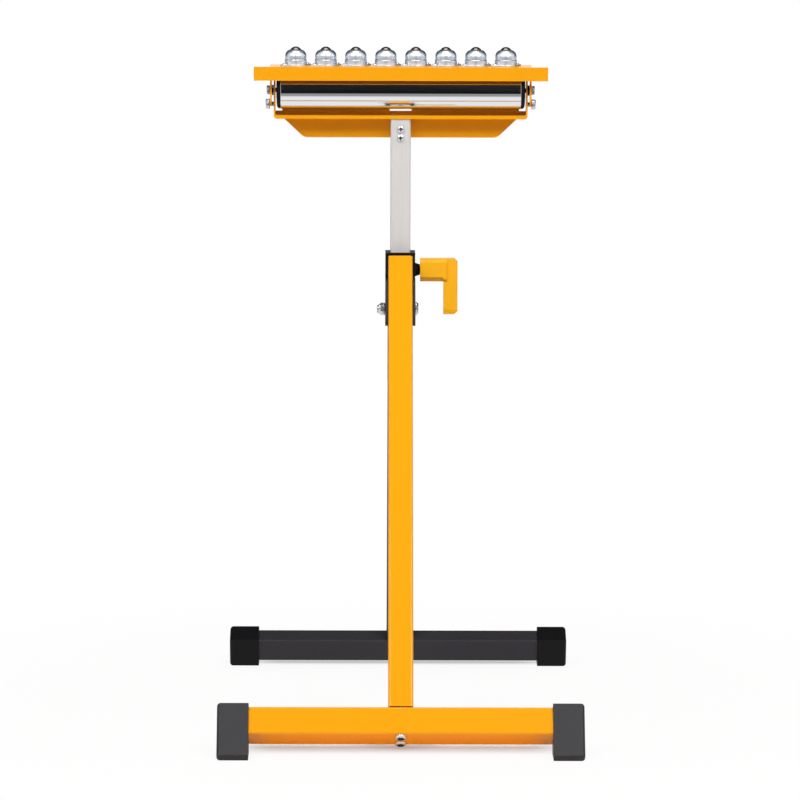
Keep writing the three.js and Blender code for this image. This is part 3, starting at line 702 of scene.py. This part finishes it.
# Clamp: a moulded lever, its hub and its lower end cut to flat chamfers, on a
# steel screw. The screw runs through the collar's boss and presses on the side
# of the mast.
LEVER_WIDTH = 0.0175
LEVER_DEPTH = 0.018
HUB_HEIGHT = 0.028
CHAMFER_HEIGHT = 0.006
HUB_SLOPE = math.radians(42.0)
LEVER_SLOPE = math.radians(18.0)
WEDGE = 0.02
PAST = 0.001


def chamfer(piece, left, right, front, bottom, slope):
    """Cut the lower front edge of a block flat from left to right."""
    inset = CHAMFER_HEIGHT * math.sin(slope) - WEDGE / 2
    wedge_y = front + inset * math.cos(slope)
    wedge_z = bottom + inset * math.sin(slope)
    bpy.ops.object.select_all(action="DESELECT")
    bpy.ops.mesh.primitive_cube_add(
        size=1.0, location=((left + right) / 2, wedge_y, wedge_z),
        rotation=(slope, 0, 0), scale=(right - left, WEDGE, WEDGE),
    )
    cut_away(piece, bpy.context.object)


yellow_plastic = moulded(
    "yellow_plastic", colour=(1.0, 0.500, 0.012), shade=(1.0, 0.485, 0.010),
    roughness=0.38, pebble=0.12, gloss=0.2,
)
knob = eased("clamp_knob", width=0.0016, segments=3)
low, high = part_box("clamp_knob")
lever = high.x - LEVER_WIDTH
lever_front = (low.y + high.y - LEVER_DEPTH) / 2
chamfer(knob, low.x - PAST, lever - PAST, low.y, high.z - HUB_HEIGHT, HUB_SLOPE)
chamfer(knob, lever - PAST, high.x + PAST, lever_front, low.z, LEVER_SLOPE)
shade_evenly(knob)
fit(knob, yellow_plastic, "yellow_plastic", "clamp", "clamp_knob")
low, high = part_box("clamp_screw")
screw = threaded("clamp_thread", low.x, high.x, **M8)
put(screw, towards((1, 0, 0), middle(low, high)))
fit(screw, zinc, "zinc", "clamp", "clamp_screw")

# Mast: a plain galvanised square tube that slides in the sleeve, with a moulded
# plug pushed into its lower end.
finish = Finish("mast_steel")
streaks = finish.grain(scale=260.0, detail=3.0, stretch=(1.0, 1.0, 0.05))
speckle = finish.grain(scale=1100.0)
mast_steel = finish.surface(
    Base_Color=finish.between(streaks, (0.67, 0.66, 0.66), (0.78, 0.77, 0.77)),
    Metallic=0.25,
    Roughness=finish.around(0.47, 0.07, speckle),
    Normal=finish.relief(speckle, strength=0.15, depth=0.0001),
)
low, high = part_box("mast")
mast = square_tube("mast_tube", high.x - low.x, TUBE_CORNER, TUBE_WALL, low.z, high.z)
put(mast, Matrix.Translation((0, axis_y, 0)))
fit(mast, mast_steel, "mast_steel", "head", "mast")
fit(eased("mast_plug", width=0.0005), black_plastic, "black_plastic", "head", "mast_plug")

# Head bracket: folded sheet steel, powder coated, with two cross-head screws
# and nuts that hold it to the top of the mast.
TONGUE_BELOW_FLANGE = 0.0104
FLANGE_CORNER = 0.0045
HEAD_SCREW_RISE = 0.0034

bracket = plain_copy("head_bracket")
flange_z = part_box("head_bracket")[0].z + TONGUE_BELOW_FLANGE
pick(
    bracket, "EDGE",
    lambda a, b: max(abs(a.z - flange_z), abs(b.z - flange_z)) < CLEAR
    and abs(a.x - b.x) < CLEAR
    and abs(a.x) > LEG_TUBE,
)
bpy.ops.mesh.bevel(offset=FLANGE_CORNER, segments=5)
done(bracket, "head_bracket_folded")
soften(bracket, width=0.0006, segments=3)
fit(bracket, yellow_coat, "yellow_paint", "head", "head_bracket")
for row in ("upper", "lower"):
    low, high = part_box(f"head_bolt_{row}")
    seat = low.y + HEAD_SCREW_RISE
    height = middle(low, high).z
    screw = dome_screw(
        f"head_screw_{row}",
        radius=0.0048, rise=HEAD_SCREW_RISE, depth=0.0016, low=seat - high.y, slot=0.0017,
    )
    put(screw, towards((0, -1, 0), (0, seat, height)))
    fit(screw, None, "zinc", "head", f"head_bolt_{row}")
    nut_low, nut_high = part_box(f"head_nut_{row}")
    nut = hexagon(nut_high.x - nut_low.x, 0.0, nut_high.y - nut_low.y)
    nut.name = f"head_hex_nut_{row}"
    put(nut, towards((0, 1, 0), (0, nut_low.y, height)))
    fit(nut, zinc, "zinc", "head", f"head_nut_{row}")

# Roller: a chromed tube pressed on moulded end caps, which turn on the stub
# bolts at the ends of the head bracket.
ROLLER_WALL = 0.002
ROLLER_CHAMFER = 0.0004
CAP_BORE = 0.0034
CAP_PLUG = 0.0205
CAP_HUB = 0.0115
CAP_DIMPLE = 0.0060
CAP_RECESS = 0.002

finish = Finish("chrome")
lines = finish.grain(scale=900.0, stretch=(0.01, 1.0, 1.0))
chrome = finish.surface(
    Base_Color=finish.between(lines, (0.74, 0.745, 0.76), (0.82, 0.825, 0.84)),
    Metallic=1.0,
    Roughness=finish.around(0.075, 0.025, lines),
)
low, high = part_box("roller_tube")
axle = middle(low, high)
radius = (high.z - low.z) / 2
bore = radius - ROLLER_WALL
half = high.x
tube = lathe(
    "roller_sleeve",
    [(bore, -half), (radius - ROLLER_CHAMFER, -half), (radius, -half + ROLLER_CHAMFER),
     (radius, half - ROLLER_CHAMFER), (radius - ROLLER_CHAMFER, half), (bore, half), (bore, -half)],
    steps=128,
)
put(tube, towards((1, 0, 0), axle))
fit(tube, chrome, "chrome", "roller", "roller_tube")
for side, sign in (("left", -1), ("right", 1)):
    low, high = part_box(f"roller_cap_{side}")
    inner, outer = sorted((abs(low.x), abs(high.x)))
    rim = (high.z - low.z) / 2
    shoulder = half + CLEAR
    cap = lathe(
        f"roller_end_{side}",
        [(CAP_BORE, inner), (CAP_PLUG - 0.0015, inner), (CAP_PLUG, inner + 0.0008), (CAP_PLUG, shoulder),
         (rim - 0.0006, shoulder), (rim, shoulder + 0.0008), (rim, outer - 0.0042),
         (rim - 0.0008, outer - 0.0022), (rim - 0.0024, outer - 0.0009), (rim - 0.005, outer - 0.0004),
         (rim - 0.0058, outer - CAP_RECESS), (CAP_HUB, outer - CAP_RECESS), (CAP_HUB - 0.0007, outer),
         (CAP_DIMPLE, outer), (CAP_BORE, outer - 0.0012), (CAP_BORE, inner)],
        steps=64,
    )
    put(cap, towards((sign, 0, 0), axle))
    fit(cap, black_plastic, "black_plastic", "roller", f"roller_cap_{side}")

# Axle and lock bolts: zinc plated hexagon bolts that carry the roller and the
# plate's ears, and below each a round-headed bolt that the ear rests on.
AXLE_HEAD = 0.004
AXLE_SHANK_END = 0.0037
LOCK_HEAD = 0.0052
LOCK_EDGE = 0.001
LOCK_GROOVE = 0.0008
LOCK_SHANK_END = 0.0005
DIMPLE_RADIUS = 0.0034
DIMPLE_FLOOR = 0.0028
DIMPLE_DEPTH = 0.0012

for side, sign in (("left", -1), ("right", 1)):
    low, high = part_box(f"axle_bolt_{side}")
    inner, outer = sorted((abs(low.x), abs(high.x)))
    bolt = joined(
        f"axle_hex_bolt_{side}",
        hexagon(high.y - low.y, outer - AXLE_HEAD, outer),
        threaded("shank", inner, outer - AXLE_SHANK_END, **M6),
    )
    put(bolt, towards((sign, 0, 0), axle))
    fit(bolt, zinc, "zinc", "head", f"axle_bolt_{side}")
    node = f"pivot_spacer_{side}"
    fit(eased(node, width=0.0002), black_plastic, "black_plastic", "head", node)
    low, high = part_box(f"lock_bolt_{side}")
    inner, outer = sorted((abs(low.x), abs(high.x)))
    rim = (high.z - low.z) / 2
    groove = rim - LOCK_GROOVE
    seat = outer - LOCK_HEAD
    head = lathe(
        "head",
        [(0.0, seat), (rim - LOCK_EDGE, seat), (rim, seat + 0.0009), (rim, seat + 0.0026),
         (groove, seat + 0.003), (groove, seat + 0.0038), (rim, seat + 0.0042),
         (rim, outer - 0.0009), (rim - LOCK_EDGE, outer), (DIMPLE_RADIUS, outer),
         (DIMPLE_FLOOR, outer - DIMPLE_DEPTH), (0.0, outer - DIMPLE_DEPTH)],
        steps=48,
    )
    shank = threaded("shank", inner, seat + LOCK_SHANK_END, **M6)
    thumb = joined(f"lock_thumb_bolt_{side}", head, shank)
    put(thumb, towards((sign, 0, 0), middle(low, high)))
    fit(thumb, zinc, "zinc", "head", f"lock_bolt_{side}")

# Ball plate: folded sheet steel, powder coated, hung on the axle bolts so that
# it flips back off the roller.
plate = eased("ball_plate", width=0.0006, segments=3)
fit(plate, yellow_coat, "yellow_paint", "plate", "ball_plate")

# Ball units: a pressed zinc cup on a two-eared flange, screwed to the plate,
# with a polished steel ball that rolls in it.
CUP_RADIUS = 0.0132
CUP_SKIRT = 0.0137
CUP_CRIMP = 0.0075
CUP_SHOULDER = 0.008
CUP_TOP = 0.0194
SHOULDER_STEPS = 12
MOUTH = 0.0075
LIP = 0.0006
HOLLOW = 0.0083
HOLLOW_FROM = 28.0
HOLLOW_SWEEP = 118.0
HOLLOW_STEPS = 8
BALL_RADIUS = 0.008
BALL_CENTRE = 0.0155
BALL_STEPS = 24
FLANGE_RADIUS = 0.0142
FLANGE_THICK = 0.0016
EAR_REACH = 0.017
EAR_RADIUS = 0.005
EAR_TURN = math.radians(35.0)

shoulder_arc = math.acos((MOUTH + LIP - CUP_RADIUS + CUP_SHOULDER) / CUP_SHOULDER)
spring = CUP_TOP - CUP_SHOULDER * math.sin(shoulder_arc)
profile = [
    (0.0, 0.0), (CUP_SKIRT, 0.0), (CUP_SKIRT, CUP_CRIMP - 0.0004),
    (CUP_RADIUS + 0.0002, CUP_CRIMP), (CUP_RADIUS - 0.0002, CUP_CRIMP + 0.0003),
    (CUP_RADIUS, CUP_CRIMP + 0.0009), (CUP_RADIUS, spring),
]
for step in range(1, SHOULDER_STEPS + 1):
    angle = step / SHOULDER_STEPS * shoulder_arc
    profile.append((
        CUP_RADIUS - CUP_SHOULDER * (1 - math.cos(angle)),
        spring + CUP_SHOULDER * math.sin(angle),
    ))
profile += [(MOUTH + 0.0002, CUP_TOP), (MOUTH, CUP_TOP - 0.0003), (MOUTH + 0.0002, CUP_TOP - 0.0008)]
for step in range(1, HOLLOW_STEPS + 1):
    angle = math.radians(HOLLOW_FROM - HOLLOW_SWEEP * step / HOLLOW_STEPS)
    profile.append((HOLLOW * math.cos(angle), BALL_CENTRE + HOLLOW * math.sin(angle)))
dome = lathe("dome", profile, steps=56)

ear = Vector((EAR_REACH * math.cos(EAR_TURN), EAR_REACH * math.sin(EAR_TURN)))
ear_spots = [-ear, ear]
discs = []
for spot, radius in [((0.0, 0.0), FLANGE_RADIUS)] + [(spot, EAR_RADIUS) for spot in ear_spots]:
    bpy.ops.object.select_all(action="DESELECT")
    bpy.ops.mesh.primitive_cylinder_add(
        vertices=48, radius=radius, depth=FLANGE_THICK, location=(*spot, FLANGE_THICK / 2)
    )
    bpy.ops.object.transform_apply(location=True, rotation=True, scale=True)
    discs.append(bpy.context.object)
flange = joined("flange", *discs)
select_only(flange)
bpy.ops.object.mode_set(mode="EDIT")
bpy.ops.mesh.select_all(action="SELECT")
bpy.ops.mesh.convex_hull()
bpy.ops.mesh.dissolve_limited(angle_limit=math.radians(0.5))
done(flange, "flange")
soften(flange, width=0.0003)
unit = joined("ball_cup", dome, flange)

rim_screw = dome_screw(
    "rim_screw", radius=0.0028, rise=0.0016, depth=0.0008, low=-0.0030, slot=0.0008
)
turns = [step / BALL_STEPS * math.pi for step in range(BALL_STEPS + 1)]
outline = [(BALL_RADIUS * math.sin(turn), -BALL_RADIUS * math.cos(turn)) for turn in turns]
ball = lathe("steel_ball", outline, steps=48)


def copied(piece, name, spot):
    twin = bpy.data.objects.new(name, piece.data.copy())
    bpy.context.collection.objects.link(twin)
    put(twin, Matrix.Translation(spot))
    return twin


cup_zinc = zinc_plate("cup_zinc", warm=(0.78, 0.83, 0.90), cool=(0.64, 0.74, 0.88), roughness=0.36)
finish = Finish("ball_steel")
ball_steel = finish.surface(
    Base_Color=finish.between(finish.grain(scale=240.0), (0.22, 0.19, 0.17), (0.27, 0.24, 0.22)),
    Metallic=1.0,
    Roughness=finish.around(0.225, 0.025, finish.grain(scale=700.0)),
)
for number in range(1, 9):
    low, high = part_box(f"ball_{number}")
    centre = (low + high) / 2
    foot = Vector((centre.x, centre.y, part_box(f"ball_cup_{number}")[0].z))
    cup = copied(unit, f"ball_cup_{number}_pressed", foot)
    fit(cup, cup_zinc, "zinc", "plate", f"ball_cup_{number}")
    for index, spot in enumerate(ear_spots, 1):
        seat = foot + Vector((*spot, FLANGE_THICK))
        fit(copied(rim_screw, f"rim_screw_{number}_{index}", seat), None, "zinc", "plate")
    rolling = copied(ball, f"steel_ball_{number}", centre)
    fit(rolling, ball_steel, "chrome", f"ball_{number}", f"ball_{number}")
for pattern in (unit, rim_screw, ball):
    bpy.data.objects.remove(pattern)
